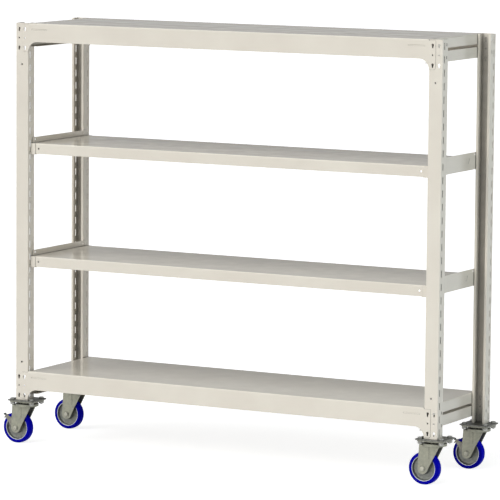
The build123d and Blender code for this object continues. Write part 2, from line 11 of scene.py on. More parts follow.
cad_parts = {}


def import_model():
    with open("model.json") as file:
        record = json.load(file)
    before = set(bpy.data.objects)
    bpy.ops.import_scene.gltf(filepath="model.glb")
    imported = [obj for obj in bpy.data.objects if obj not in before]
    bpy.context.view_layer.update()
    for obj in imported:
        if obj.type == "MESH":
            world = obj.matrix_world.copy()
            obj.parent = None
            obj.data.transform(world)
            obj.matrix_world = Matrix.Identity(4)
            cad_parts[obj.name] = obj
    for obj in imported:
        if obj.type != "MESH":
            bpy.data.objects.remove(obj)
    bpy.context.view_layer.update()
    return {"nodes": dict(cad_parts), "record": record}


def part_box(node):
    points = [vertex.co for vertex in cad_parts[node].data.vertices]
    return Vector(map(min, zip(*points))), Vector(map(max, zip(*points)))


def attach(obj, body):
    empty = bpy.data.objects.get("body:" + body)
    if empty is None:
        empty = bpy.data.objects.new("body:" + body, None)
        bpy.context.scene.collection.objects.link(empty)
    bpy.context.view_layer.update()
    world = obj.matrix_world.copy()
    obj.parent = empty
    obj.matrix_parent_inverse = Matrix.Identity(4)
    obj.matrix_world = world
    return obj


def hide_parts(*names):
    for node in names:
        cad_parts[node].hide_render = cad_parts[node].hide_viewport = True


Colour = tuple[float, float, float]
Pair = tuple[float, float]
Place = tuple[float, float, float]
Socket = bpy.types.NodeSocket

log = logging.getLogger("shelving")
CORNERS = ("front_left", "front_right", "rear_left", "rear_right")
BRAKED = ("front_left", "rear_right")
TOUCHING = 1e-6  # metres within which two points are taken as one
SLIVER = 1e-7  # length of an edge, in metres, that is dropped
SHARP_ANGLE = 32.0  # degrees from which an edge stays sharp


def linear(red: int, green: int, blue: int) -> Colour:
    """Scene-linear colour of a screen colour.

    Args:
        red: Red from 0 to 255.
        green: Green from 0 to 255.
        blue: Blue from 0 to 255.

    Returns:
        The three linear channels.
    """
    toe, slope, gamma, lift = 0.04045, 12.92, 2.4, 0.055
    channels = [value / 255 for value in (red, green, blue)]
    return tuple(c / slope if c <= toe else ((c + lift) / (1 + lift)) ** gamma for c in channels)


class Surface:
    """The node tree of one procedural material, with short calls for the nodes that it needs."""

    edge_samples: int = 4
    shade_samples: int = 8
    edge_span: Pair = (0.995, 0.8)  # how much a rounded normal agrees with its face, on a flat and an edge
    noise_span: Pair = (0.3, 0.7)  # where most values of a noise pattern lie
    mix_inputs: tuple[int, int, int] = (0, 6, 7)  # factor and both colours of a Mix node
    mix_result: int = 2

    def __init__(self, name: str) -> None:
        """Makes an empty material.

        Args:
            name: Name of the material.
        """
        self.material = bpy.data.materials.new(name)
        self.material.use_nodes = True
        self.tree = self.material.node_tree
        self.tree.nodes.clear()
        coordinates = self.node("ShaderNodeTexCoord")
        self.place = coordinates.outputs["Object"]

    def node(self, kind: str, **inputs: object) -> bpy.types.Node:
        """Adds a node and sets or links its inputs.

        Args:
            kind: Blender's name of the node type.
            **inputs: Values or sockets by input name, with underscores for spaces.

        Returns:
            The new node.
        """
        made = self.tree.nodes.new(kind)
        for name, value in inputs.items():
            self.feed(made.inputs[name.replace("_", " ")], value)
        return made

    def feed(self, target: Socket, value: object) -> None:
        """Links a socket to an input, or sets the input to a plain value.

        Args:
            target: The input.
            value: A socket, a colour or a number.
        """
        if isinstance(value, bpy.types.NodeSocket):
            self.tree.links.new(value, target)
        elif isinstance(value, tuple) and target.type == "RGBA":
            target.default_value = (*value, 1.0)
        else:
            target.default_value = value

    def noise(self, size: float, detail: float) -> Socket:
        """Noise pattern by the size of its grain.

        Args:
            size: Size of one grain, in metres.
            detail: Number of finer layers.

        Returns:
            The noise from 0 to 1.
        """
        made = self.node("ShaderNodeTexNoise", Vector=self.place, Scale=1 / size, Detail=detail)
        return made.outputs["Fac"]

    def spread(self, value: Socket, low: float, high: float, start: float, end: float) -> Socket:
        """Maps a value from one range to another and keeps it there.

        Args:
            value: The value to map.
            low: Start of the range read.
            high: End of the range read.
            start: Result at low.
            end: Result at high.

        Returns:
            The mapped value.
        """
        ends = {"From_Min": low, "From_Max": high, "To_Min": start, "To_Max": end}
        return self.node("ShaderNodeMapRange", Value=value, **ends).outputs["Result"]

    def uneven(self, pattern: Socket, middle: float, less: float, more: float) -> Socket:
        """Value that wanders about a middle value with a noise pattern.

        Args:
            pattern: The noise.
            middle: The value to wander about.
            less: How far below it the value goes.
            more: How far above it the value goes.

        Returns:
            The value.
        """
        return self.spread(pattern, *self.noise_span, middle - less, middle + more)

    def maths(self, how: str, first: object, second: object) -> Socket:
        """Result of a sum with two values.

        Args:
            how: Blender's name of the sum.
            first: First value or socket.
            second: Second value or socket.

        Returns:
            The result.
        """
        made = self.node("ShaderNodeMath")
        made.operation = how
        self.feed(made.inputs[0], first)
        self.feed(made.inputs[1], second)
        return made.outputs[0]

    def blended(self, share: object, first: object, second: object) -> Socket:
        """Colour between two colours.

        Args:
            share: 0 gives the first colour and 1 the second.
            first: First colour.
            second: Second colour.

        Returns:
            The blended colour.
        """
        made = self.tree.nodes.new("ShaderNodeMix")
        made.data_type = "RGBA"
        for place, value in zip(self.mix_inputs, (share, first, second)):
            self.feed(made.inputs[place], value)
        return made.outputs[self.mix_result]

    def softened(self, radius: float) -> Socket:
        """Normal that is rounded over every edge.

        Args:
            radius: Radius of the rounding, in metres.

        Returns:
            The normal.
        """
        made = self.node("ShaderNodeBevel", Radius=radius)
        made.samples = self.edge_samples
        return made.outputs["Normal"]

    def edges(self, radius: float) -> Socket:
        """Mask that is 1 along edges and 0 on flat faces.

        Args:
            radius: Width of the edge, in metres.

        Returns:
            The mask.
        """
        flat = self.node("ShaderNodeNewGeometry").outputs["Normal"]
        dot = self.node("ShaderNodeVectorMath")
        dot.operation = "DOT_PRODUCT"
        self.feed(dot.inputs[0], self.softened(radius))
        self.feed(dot.inputs[1], flat)
        return self.spread(dot.outputs["Value"], *self.edge_span, 0.0, 1.0)

    def open_share(self, reach: float) -> Socket:
        """How open a place is, from 0 in a deep corner to 1 on a free face.

        Args:
            reach: How far other faces darken it, in metres.

        Returns:
            The share.
        """
        made = self.node("ShaderNodeAmbientOcclusion", Distance=reach)
        made.samples = self.shade_samples
        return made.outputs["AO"]

    def shaded(self, colour: Socket, dark: Colour, reach: float, span: Pair, share: float) -> Socket:
        """Colour that turns darker in corners and hollows: painted shade, set by how open the place is.

        Args:
            colour: Colour of open faces.
            dark: Colour of the painted shade in a deep corner.
            reach: How far other faces darken it, in metres.
            span: How open a place is where it is darkest, and where it is clean.
            share: Share of the dark colour where it is darkest.

        Returns:
            The shaded colour.
        """
        return self.blended(self.spread(self.open_share(reach), *span, share, 0.0), colour, dark)

    def bumped(self, height: Socket, depth: float, normal: Socket) -> Socket:
        """Normal with a height pattern on it.

        Args:
            height: The pattern, from 0 to 1.
            depth: Its depth, in metres.
            normal: Normal below it.

        Returns:
            The new normal.
        """
        return self.node("ShaderNodeBump", Height=height, Distance=depth, Normal=normal).outputs["Normal"]

    def finish(self, **inputs: object) -> bpy.types.Material:
        """Ends the tree in a Principled shader.

        Args:
            **inputs: Values or sockets by input name, with underscores for spaces.

        Returns:
            The finished material.
        """
        shader = self.node("ShaderNodeBsdfPrincipled", **inputs)
        output = self.node("ShaderNodeOutputMaterial")
        self.tree.links.new(shader.outputs["BSDF"], output.inputs["Surface"])
        return self.material


@dataclass(frozen=True)
class PowderCoat:
    """Smooth powder coat on sheet steel, with a faint orange peel, rubbed edges and painted shade in seams
    and hollows. Lengths in metres.
    """

    name: str
    colour: Colour = linear(236, 229, 217)
    tint: Colour = linear(231, 223, 211)
    rubbed: Colour = linear(200, 196, 188)
    # Painted shade colours for seams and deep hollows, and how far and how strongly they darken
    seam_shade: Colour = linear(108, 106, 101)
    hollow_shade: Colour = linear(88, 91, 87)
    seam_reach: float = 0.005
    seam_span: Pair = (0.35, 0.85)
    seam_share: float = 0.8
    hollow_reach: float = 0.06
    hollow_span: Pair = (0.15, 0.58)
    hollow_share: float = 0.88
    roughness: float = 0.14
    smoother: float = 0.03
    rougher: float = 0.05
    index: float = 1.45
    peel: float = 0.0035
    peel_depth: float = 0.00004
    cloud: float = 0.22
    cloud_span: Pair = (0.35, 0.65)
    edge: float = 0.0009
    wear: float = 0.35
    wear_span: Pair = (0.5, 0.62)

    def material(self) -> bpy.types.Material:
        """Builds the finish.

        Returns:
            The finished material.
        """
        s = Surface(self.name)
        cloud = s.noise(self.cloud, detail=3.0)
        coat = s.blended(s.spread(cloud, *self.cloud_span, 0.0, 1.0), self.colour, self.tint)
        patches = s.spread(s.noise(self.cloud / 8, detail=4.0), *self.wear_span, 0.0, self.wear)
        mask = s.maths("MULTIPLY", s.edges(self.edge), patches)
        rough = s.uneven(s.noise(self.cloud / 3, detail=6.0), self.roughness, self.smoother, self.rougher)
        normal = s.bumped(s.noise(self.peel, detail=1.0), self.peel_depth, s.softened(self.edge))
        colour = s.blended(mask, coat, self.rubbed)
        # painted shade in seams, then in deep hollows such as the insides of the posts
        colour = s.shaded(colour, self.seam_shade, self.seam_reach, self.seam_span, self.seam_share)
        colour = s.shaded(colour, self.hollow_shade, self.hollow_reach, self.hollow_span, self.hollow_share)
        return s.finish(Base_Color=colour, Roughness=rough, Normal=normal, IOR=self.index)


@dataclass(frozen=True)
class ZincPlate:
    """Dull zinc plate on pressed or turned steel, with a spangle of small patches and painted shade in
    hollows and seams. Lengths in metres.
    """

    name: str
    colour: Colour = linear(186, 183, 170)
    dark: Colour = linear(150, 148, 136)
    rubbed: Colour = linear(214, 212, 204)
    rubbed_share: float = 0.5
    # Painted shade colour for hollows and seams, and how far and how strongly it darkens them
    hollow_shade: Colour = linear(70, 70, 66)
    hollow_reach: float = 0.04
    hollow_span: Pair = (0.2, 0.7)
    hollow_share: float = 0.7
    seam_reach: float = 0.006
    seam_span: Pair = (0.5, 0.95)
    seam_share: float = 0.6
    metallic: float = 0.75
    roughness: float = 0.42
    smoother: float = 0.07
    rougher: float = 0.08
    patch: float = 0.012
    patch_span: Pair = (0.35, 0.68)
    edge: float = 0.0008
    scratch: float = 0.00002

    def material(self) -> bpy.types.Material:
        """Builds the finish.

        Returns:
            The finished material.
        """
        s = Surface(self.name)
        patches = s.spread(s.noise(self.patch, detail=5.0), *self.patch_span, 0.0, 1.0)
        colour = s.blended(patches, self.colour, self.dark)
        rim = s.maths("MULTIPLY", s.edges(self.edge), self.rubbed_share)
        colour = s.blended(rim, colour, self.rubbed)
        # painted shade in deep hollows, then in seams and round bolts
        colour = s.shaded(colour, self.hollow_shade, self.hollow_reach, self.hollow_span, self.hollow_share)
        colour = s.shaded(colour, self.hollow_shade, self.seam_reach, self.seam_span, self.seam_share)
        rough = s.uneven(s.noise(self.patch / 3, detail=3.0), self.roughness, self.smoother, self.rougher)
        fine = s.noise(self.patch / 16, detail=2.0)
        normal = s.bumped(fine, self.scratch, s.softened(self.edge))
        return s.finish(Base_Color=colour, Metallic=self.metallic, Roughness=rough, Normal=normal)


@dataclass(frozen=True)
class TreadRubber:
    """Elastic blue rubber, slightly scuffed where it rolls. Lengths in metres."""

    name: str
    colour: Colour = linear(2, 2, 196)
    scuffed: Colour = linear(10, 12, 176)
    scuff: float = 0.014
    scuff_span: Pair = (0.52, 0.72)
    scuff_share: float = 0.35
    roughness: float = 0.4
    smoother: float = 0.05
    rougher: float = 0.14
    cloud: float = 0.02
    index: float = 1.08
    grain: float = 0.0011
    grain_depth: float = 0.00003
    edge: float = 0.0012

    def material(self) -> bpy.types.Material:
        """Builds the finish.

        Returns:
            The finished material.
        """
        s = Surface(self.name)
        scuffs = s.spread(s.noise(self.scuff, detail=6.0), *self.scuff_span, 0.0, self.scuff_share)
        colour = s.blended(scuffs, self.colour, self.scuffed)
        rough = s.uneven(s.noise(self.cloud, detail=4.0), self.roughness, self.smoother, self.rougher)
        normal = s.bumped(s.noise(self.grain, detail=2.0), self.grain_depth, s.softened(self.edge))
        return s.finish(Base_Color=colour, Roughness=rough, Normal=normal, IOR=self.index)


@dataclass(frozen=True)
class CastPaint:
    """Grey paint over a cast wheel centre, darker where dust settles. Lengths in metres."""

    name: str
    colour: Colour = linear(124, 126, 120)
    dusty: Colour = linear(98, 99, 98)
    dust: float = 0.01
    dust_span: Pair = (0.4, 0.65)
    dust_share: float = 0.8
    rubbed: Colour = linear(176, 178, 170)
    rubbed_edge: float = 0.0012
    rubbed_share: float = 0.5
    metallic: float = 0.55
    roughness: float = 0.45
    smoother: float = 0.06
    rougher: float = 0.08
    grain: float = 0.0016
    grain_depth: float = 0.00006
    edge: float = 0.001

    def material(self) -> bpy.types.Material:
        """Builds the finish.

        Returns:
            The finished material.
        """
        s = Surface(self.name)
        dusty = s.spread(s.noise(self.dust, detail=5.0), *self.dust_span, 0.0, self.dust_share)
        colour = s.blended(dusty, self.colour, self.dusty)
        rim = s.maths("MULTIPLY", s.edges(self.rubbed_edge), self.rubbed_share)
        colour = s.blended(rim, colour, self.rubbed)
        grain = s.noise(self.grain, detail=3.0)
        normal = s.bumped(grain, self.grain_depth, s.softened(self.edge))
        rough = s.uneven(grain, self.roughness, self.smoother, self.rougher)
        return s.finish(Base_Color=colour, Metallic=self.metallic, Roughness=rough, Normal=normal)


@dataclass(frozen=True)
class Moulding:
    """Dark moulded plastic with a fine spark-eroded grain. Lengths in metres."""

    name: str
    colour: Colour = linear(24, 44, 34)
    worn: Colour = linear(52, 66, 58)
    worn_edge: float = 0.001
    worn_share: float = 0.7
    roughness: float = 0.5
    smoother: float = 0.05
    rougher: float = 0.08
    grain: float = 0.0007
    grain_depth: float = 0.00004
    edge: float = 0.0008

    def material(self) -> bpy.types.Material:
        """Builds the finish.

        Returns:
            The finished material.
        """
        s = Surface(self.name)
        worn = s.maths("MULTIPLY", s.edges(self.worn_edge), self.worn_share)
        colour = s.blended(worn, self.colour, self.worn)
        grain = s.noise(self.grain, detail=2.0)
        normal = s.bumped(grain, self.grain_depth, s.softened(self.edge))
        rough = s.uneven(grain, self.roughness, self.smoother, self.rougher)
        return s.finish(Base_Color=colour, Roughness=rough, Normal=normal)


class Finish(Enum):
    """The finishes on the rack."""

    POST = PowderCoat("post_paint")
    SHELF = PowderCoat("shelf_paint")
    BRACKET = PowderCoat("bracket_paint")
    STIFFENER = PowderCoat("stiffener_paint", linear(214, 208, 196), linear(205, 200, 189))
    BASE_PLATE = ZincPlate("base_plate_zinc", linear(118, 118, 114), linear(90, 90, 86))
    PRESSING = ZincPlate("pressing_zinc", linear(146, 146, 132), linear(132, 132, 121))
    FASTENER = ZincPlate("fastener_zinc", linear(170, 170, 166), linear(138, 138, 134), roughness=0.3)
    AXLE = ZincPlate("axle_zinc", linear(172, 171, 158), linear(150, 149, 138), roughness=0.46)
    STUD = ZincPlate("stud_zinc", linear(190, 190, 184), linear(158, 158, 152), roughness=0.36)
    BALL = ZincPlate(
        "ball_steel", linear(214, 214, 214), linear(196, 196, 196), metallic=1.0, roughness=0.12
    )
    BEARING = ZincPlate("bearing_steel", linear(178, 178, 178), linear(146, 146, 146), roughness=0.28)
    HUB = CastPaint("hub_paint")
    RIM = ZincPlate("rim_polish", linear(206, 208, 214), linear(184, 186, 194), roughness=0.3)
    SEAL = Moulding("seal_rubber", linear(46, 44, 42), linear(70, 68, 64))
    # Lit and shaded copies of one blue rubber: the tread is painted lighter where side light falls on it, and
    # the sidewall darker, as painted shade
    TREAD = TreadRubber("blue_tread")
    SHADED_SIDEWALL = TreadRubber("blue_sidewall_shaded", linear(6, 6, 158), linear(22, 24, 142))
    LEVER = ZincPlate("lever_zinc", linear(134, 132, 124), linear(110, 108, 102))
    CAP = Moulding("cap_plastic")


# Finish of each material slot in the record
SLOT_FINISHES = {
    "post_paint": Finish.POST,
    "shelf_paint": Finish.SHELF,
    "bracket_paint": Finish.BRACKET,
    "stiffener_steel": Finish.STIFFENER,
    "stud_steel": Finish.STUD,
    "base_plate_paint": Finish.BASE_PLATE,
    "zinc_pressing": Finish.PRESSING,
    "fastener_zinc": Finish.FASTENER,
    "axle_steel": Finish.AXLE,
    "ball_steel": Finish.BALL,
    "bearing_steel": Finish.BEARING,
    "hub_casting": Finish.HUB,
    "blue_tread": Finish.TREAD,
    "lever_zinc": Finish.LEVER,
    "cap_plastic": Finish.CAP,
}


class Paintbox:
    """Makes each finish once, puts it on pieces and keeps the joints' places."""

    def __init__(self, record: dict) -> None:
        """Reads which slot each CAD node has, and where each joint is.

        Args:
            record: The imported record.
        """
        self.slots = {part["node"]: part["material_slot"] for part in record["subparts"]}
        self.pivots = {joint["name"]: Vector(joint["pos_m"]) for joint in record["behaviour"]["joints"]}
        self.made: dict[Finish, bpy.types.Material] = {}

    def get(self, finish: Finish) -> bpy.types.Material:
        """Gives a finish, made at its first use.

        Args:
            finish: The finish.

        Returns:
            Its material.
        """
        if finish not in self.made:
            self.made[finish] = finish.value.material()
        return self.made[finish]

    def dress(self, name: str, piece: bpy.types.Object) -> None:
        """Puts the finish of its own slot on a CAD node.

        Args:
            name: The node's name.
            piece: The node's object.
        """
        material = self.get(SLOT_FINISHES[self.slots[name]])
        while len(piece.material_slots) < 1:
            piece.data.materials.append(None)
        for slot in piece.material_slots:
            slot.link = "OBJECT"
            slot.material = material


class Form:
    """A mesh in the making, which becomes one piece of the rack."""

    corner_steps: int = 3
    chamfer_steps: int = 2
    chamfer_share: float = 0.05  # chamfer of a hexagon, as a share of its width

    def __init__(self, name: str) -> None:
        """Starts an empty mesh.

        Args:
            name: Name of the piece.
        """
        self.name = name
        self.mesh = bmesh.new()

    def outline(self, points: list[Pair], round_off: float) -> list[bmesh.types.BMVert]:
        """Draws a closed half section in Y and Z, with its corners rounded.

        Args:
            points: Places along the axis and radii, in order.
            round_off: Size of the rounding.

        Returns:
            The section's vertices.
        """
        corners = [self.mesh.verts.new((0.0, along, radius)) for along, radius in points]
        face = self.mesh.faces.new(corners)
        away = [vert for vert in corners if vert.co.z > TOUCHING]
        bmesh.ops.bevel(
            self.mesh, geom=away, offset=round_off, segments=self.corner_steps, profile=0.5,
            affect="VERTICES", material=-1,
        )
        bmesh.ops.delete(self.mesh, geom=list(self.mesh.faces), context="FACES_ONLY")
        on_axis = [edge for edge in self.mesh.edges if all(vert.co.z < TOUCHING for vert in edge.verts)]
        bmesh.ops.delete(self.mesh, geom=on_axis, context="EDGES_FACES")
        return list(self.mesh.verts)

    def turned(self, points: list[Pair], round_off: float, centre: Vector, steps: int) -> None:
        """Adds a shape turned about an axis along Y.

        Args:
            points: Half section as places along the axis and radii.
            round_off: Rounding of its corners.
            centre: The place of its middle.
            steps: Number of facets round the axis.
        """
        section = Form(self.name)
        verts = section.outline(points, round_off)
        edges = list({edge for vert in verts for edge in vert.link_edges})
        bmesh.ops.spin(
            section.mesh, geom=verts + edges, cent=(0, 0, 0), axis=(0, 1, 0), dvec=(0, 0, 0),
            angle=2 * math.pi, steps=steps, use_merge=True, use_duplicate=False,
        )
        self.take(section, Matrix.Translation(centre))

    def hexagon(self, flats: float, height: float, place: Matrix) -> None:
        """Adds a hexagon with chamfered corners, standing on its own XY plane.

        Args:
            flats: Width across the flats.
            height: Its height.
            place: Where it goes.
        """
        part = Form(self.name)
        bmesh.ops.create_circle(part.mesh, cap_ends=True, segments=6, radius=flats / math.sqrt(3))
        top = bmesh.ops.extrude_face_region(part.mesh, geom=list(part.mesh.faces))
        raised = [item for item in top["geom"] if isinstance(item, bmesh.types.BMVert)]
        bmesh.ops.translate(part.mesh, vec=(0, 0, height), verts=raised)
        edges = [edge for edge in part.mesh.edges if all(vert in raised for vert in edge.verts)]
        bmesh.ops.bevel(
            part.mesh, geom=edges, offset=flats * self.chamfer_share, segments=self.chamfer_steps,
            profile=0.5, affect="EDGES", material=-1,
        )
        self.take(part, place)

    def block(self, size: Vector, round_off: float, steps: int, place: Matrix) -> None:
        """Adds a block with rounded edges, about the middle of its place.

        Args:
            size: Its lengths along X, Y and Z.
            round_off: Rounding of its edges.
            steps: Number of facets of the rounding.
            place: Where it goes.
        """
        part = Form(self.name)
        bmesh.ops.create_cube(part.mesh, size=1.0)
        bmesh.ops.scale(part.mesh, vec=size, verts=part.mesh.verts)
        bmesh.ops.bevel(
            part.mesh, geom=list(part.mesh.edges), offset=round_off, segments=steps, profile=0.5,
            affect="EDGES", material=-1,
        )
        self.take(part, place)

    def take(self, other: "Form", place: Matrix) -> None:
        """Adds another form's mesh to this one.

        Args:
            other: The form to add, which ends here.
            place: Where it goes.
        """
        mesh = other.mesh
        bmesh.ops.remove_doubles(mesh, verts=list(mesh.verts), dist=TOUCHING)
        bmesh.ops.dissolve_degenerate(mesh, edges=list(mesh.edges), dist=SLIVER)
        bmesh.ops.recalc_face_normals(mesh, faces=list(mesh.faces))
        bmesh.ops.transform(mesh, matrix=place, verts=list(mesh.verts))
        carrier = bpy.data.meshes.new("carrier")
        mesh.to_mesh(carrier)
        mesh.free()
        self.mesh.from_mesh(carrier)
        bpy.data.meshes.remove(carrier)

    def mark(self, near: Vector, inside: float, outside: float, off_middle: float) -> None:
        """Gives the second finish to faces in a ring about an axis along Y.

        Args:
            near: A point on the axis, in the middle of the piece.
            inside: Inner radius of the ring.
            outside: Outer radius of the ring.
            off_middle: How far the faces are from the middle plane, at least.
        """
        for face in self.mesh.faces:
            from_axis = face.calc_center_median() - near
            if inside < math.hypot(from_axis.x, from_axis.z) < outside and abs(from_axis.y) > off_middle:
                face.material_index = 1

    def finished(
        self, body: str, slot: str, paint: "Paintbox", nodes: list[str], second: "Finish | None" = None
    ) -> bpy.types.Object:
        """Makes the piece, shaded smooth but for its sharp edges.

        Args:
            body: CAD body that it rides on.
            slot: Slot of its finish in the record.
            paint: The finishes.
            nodes: CAD nodes that it replaces.
            second: Finish of the marked faces, if there are any.

        Returns:
            The new object.
        """
        data = bpy.data.meshes.new(self.name)
        self.mesh.to_mesh(data)
        self.mesh.free()
        data.shade_smooth()
        data.set_sharp_from_angle(angle=math.radians(SHARP_ANGLE))
        piece = bpy.data.objects.new(self.name, data)
        bpy.context.scene.collection.objects.link(piece)
        data.materials.append(paint.get(SLOT_FINISHES[slot]))
        if second is not None:
            data.materials.append(paint.get(second))
        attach(piece, body)
        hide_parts(*nodes)
        log.info("%s stands for %s", self.name, ", ".join(nodes))
        return piece


def mirrored(points: list[Pair]) -> list[Pair]:
    """A half section closed by its own mirror image about the middle plane."""
    return points + [(-along, radius) for along, radius in reversed(points)]


@dataclass
class Wheel:
    """Tread, centre and bearings of one caster. Lengths in metres."""

    corner: str
    steps: int = 96
    crown: float = 0.0012
    quarter_share: float = 0.22
    tread_round: float = 0.0026
    groove: float = 0.0004
    groove_half: float = 0.0006
    rim_play: float = 0.0001
    rim_wall: float = 0.0034
    rim_inset: float = 0.001
    lap: float = 0.0016
    lap_share: float = 0.6
    lap_gap: float = 0.0002
    lip: float = 0.0016
    dish: float = 0.0075
    web_half: float = 0.0032
    boss_radius: float = 0.020
    boss_bore: float = 0.009
    seat_play: float = 0.00005
    seat_depth: float = 0.0083
    bearing_width: float = 0.008
    bearing_bore: float = 0.00805
    race: float = 0.0023
    seal_depth: float = 0.0006

    def build(self, paint: Paintbox) -> None:
        """Makes the wheel's three pieces.

        Args:
            paint: The finishes.
        """
        low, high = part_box(f"wheel_tyre_{self.corner}")
        self.centre = (low + high) / 2
        self.radius = (high.z - low.z) / 2
        self.half = (high.y - low.y) / 2
        low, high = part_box(f"wheel_hub_{self.corner}")
        self.rim = (high.z - low.z) / 2
        self.boss_half = (high.y - low.y) / 2
        self.make_tread(paint)
        self.make_centre(paint)
        self.make_bearings(paint)

    def make_tread(self, paint: Paintbox) -> None:
        """Makes the crowned tread, with a fine parting line, lapping over the rim's edge. Its side faces take
        a darker copy of the rubber, as painted shade.

        Args:
            paint: The finishes.
        """
        form = Form(f"tread_{self.corner}")
        inner = self.rim + self.rim_play
        edge = self.radius - self.crown
        quarter = self.radius - self.crown * self.quarter_share
        seat = self.half - self.rim_inset + self.lap_gap
        side = [
            (seat, inner),
            (seat, inner - self.lap),
            (self.half, inner - self.lap * self.lap_share),
            (self.half, edge - self.tread_round),
            (self.half - self.tread_round, edge),
            (self.half / 2, quarter),
            (self.groove_half * 2, self.radius),
            (self.groove_half, self.radius - self.groove),
        ]
        form.turned(mirrored(side), self.groove_half / 2, self.centre, self.steps)
        # the side faces take the darker, shaded copy of the rubber: painted shade
        shoulder = edge - self.tread_round / 3
        form.mark(self.centre, inner - self.lap, shoulder, self.half - self.tread_round / 2)
        name = f"wheel_tyre_{self.corner}"
        form.finished(f"wheel_{self.corner}", "blue_tread", paint, [name], Finish.SHADED_SIDEWALL)

    def make_centre(self, paint: Paintbox) -> None:
        """Makes the cast centre: two rim lips, a dished web and a boss with bearing seats.

        Args:
            paint: The finishes.
        """
        form = Form(f"wheel_centre_{self.corner}")
        rim_half = self.half - self.rim_inset
        inner = self.rim - self.rim_wall
        low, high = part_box(f"wheel_bearings_{self.corner}")
        seat = (high.z - low.z) / 2 + self.seat_play
        seat_end = self.boss_half - self.seat_depth
        side = [
            (rim_half, self.rim),
            (rim_half, inner),
            (rim_half - self.dish, inner - self.lip),
            (self.web_half, inner - self.rim_wall),
            (self.web_half, self.boss_radius + self.rim_wall),
            (self.boss_half - self.lip, self.boss_radius),
            (self.boss_half, self.boss_radius - self.lip),
            (self.boss_half, seat),
            (seat_end, seat),
            (seat_end, self.boss_bore),
        ]
        form.turned(mirrored(side), self.lip / 3, self.centre, self.steps)
        form.mark(self.centre, inner - self.lip / 2, self.rim, rim_half - self.dish / 3)
        name = f"wheel_hub_{self.corner}"
        form.finished(f"wheel_{self.corner}", "hub_casting", paint, [name], Finish.RIM)

    def make_bearings(self, paint: Paintbox) -> None:
        """Makes two bearings, each with an outer ring, a sunk seal and an inner ring.

        Args:
            paint: The finishes.
        """
        form = Form(f"bearings_{self.corner}")
        low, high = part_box(f"wheel_bearings_{self.corner}")
        outer = (high.z - low.z) / 2
        half = self.bearing_width / 2
        inner_ring = self.bearing_bore + self.race
        side = [
            (half, outer),
            (half, outer - self.race),
            (half - self.seal_depth, outer - self.race),
            (half - self.seal_depth, inner_ring),
            (half, inner_ring),
            (half, self.bearing_bore),
        ]
        for way in (-1, 1):
            place = self.centre + Vector((0, way * (self.boss_half - half), 0))
            form.turned(mirrored(side), self.seal_depth / 4, place, self.steps // 2)
        form.mark(self.centre, inner_ring, outer - self.race, 0.0)
        name = f"wheel_bearings_{self.corner}"
        form.finished(f"wheel_{self.corner}", "bearing_steel", paint, [name], Finish.SEAL)


@dataclass
class Axle:
    """Axle bolt with its nut and sleeve, and the collar of a brake. Lengths in metres."""

    corner: str
    shank: float = 0.005
    flange_radius: float = 0.010
    flange: float = 0.002
    flats: float = 0.016
    hexagon: float = 0.0042
    end: float = 0.0008
    pitch: float = 0.00125
    threads: int = 3
    sleeve: float = 0.008
    gap: float = 0.039
    clearance: float = 0.0003
    collar_radius: float = 0.0125
    steps: int = 48

    def build(self, paint: Paintbox) -> None:
        """Makes the axle as one piece.

        Args:
            paint: The finishes, and the brake's place.
        """
        low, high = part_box(f"axle_{self.corner}")
        tread_low, tread_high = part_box(f"wheel_tyre_{self.corner}")
        self.centre = (tread_low + tread_high) / 2
        self.half = (high.y - low.y) / 2
        hub_low, hub_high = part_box(f"wheel_hub_{self.corner}")
        self.boss_half = (hub_high.y - hub_low.y) / 2
        form = Form(f"axle_set_{self.corner}")
        self.add_bolt(form)
        rear = self.gap / 2
        front = self.boss_half + self.clearance if self.corner in BRAKED else rear
        wall = [(rear, self.shank), (rear, self.sleeve), (-front, self.sleeve), (-front, self.shank)]
        form.turned(wall, self.end / 4, self.centre, self.steps)
        if self.corner in BRAKED:
            self.add_collar(form, paint)
        form.finished(f"swivel_{self.corner}", "axle_steel", paint, [f"axle_{self.corner}"])

    def add_bolt(self, form: Form) -> None:
        """Adds the shank with its thread, and a flanged hexagon at both ends.

        Args:
            form: The form to add to.
        """
        seat = self.half - self.flange - self.hexagon - self.end
        thread = []
        for turn in range(self.threads):
            along = self.half - self.end / 2 - turn * self.pitch
            thread += [(along, self.shank - self.end / 2), (along - self.pitch / 2, self.shank)]
        tail = -(seat + self.flange)
        shank = [(self.half, 0.0), (self.half, self.shank - self.end)] + thread
        form.turned(shank + [(tail, self.shank), (tail, 0.0)], self.end / 4, self.centre, self.steps)
        for way in (-1, 1):
            ring = [
                (way * seat, self.shank / 2),
                (way * seat, self.flange_radius),
                (way * (seat + self.flange / 2), self.flange_radius),
                (way * (seat + self.flange), self.flats / 2),
                (way * (seat + self.flange), self.shank / 2),
            ]
            form.turned(ring, self.end / 4, self.centre, self.steps)
            tilt = Matrix.Rotation(math.radians(-90 * way), 4, "X")
            foot = Matrix.Translation(self.centre + Vector((0, way * (seat + self.flange), 0)))
            form.hexagon(self.flats, self.hexagon, foot @ tilt)

    def add_collar(self, form: Form, paint: Paintbox) -> None:
        """Adds the off-centre collar that the brake lever turns on, between the wheel and the front cheek.

        Args:
            form: The form to add to.
            paint: Gives the brake's place from the record.
        """
        pivot = paint.pivots[f"brake_{self.corner}"]
        inside = self.boss_half + self.clearance
        half = (self.gap / 2 - inside) / 2
        side = [(half, self.collar_radius), (half, self.shank / 2)]
        place = Vector((pivot.x, self.centre.y - inside - half, pivot.z))
        form.turned(mirrored(side), self.end / 3, place, self.steps)


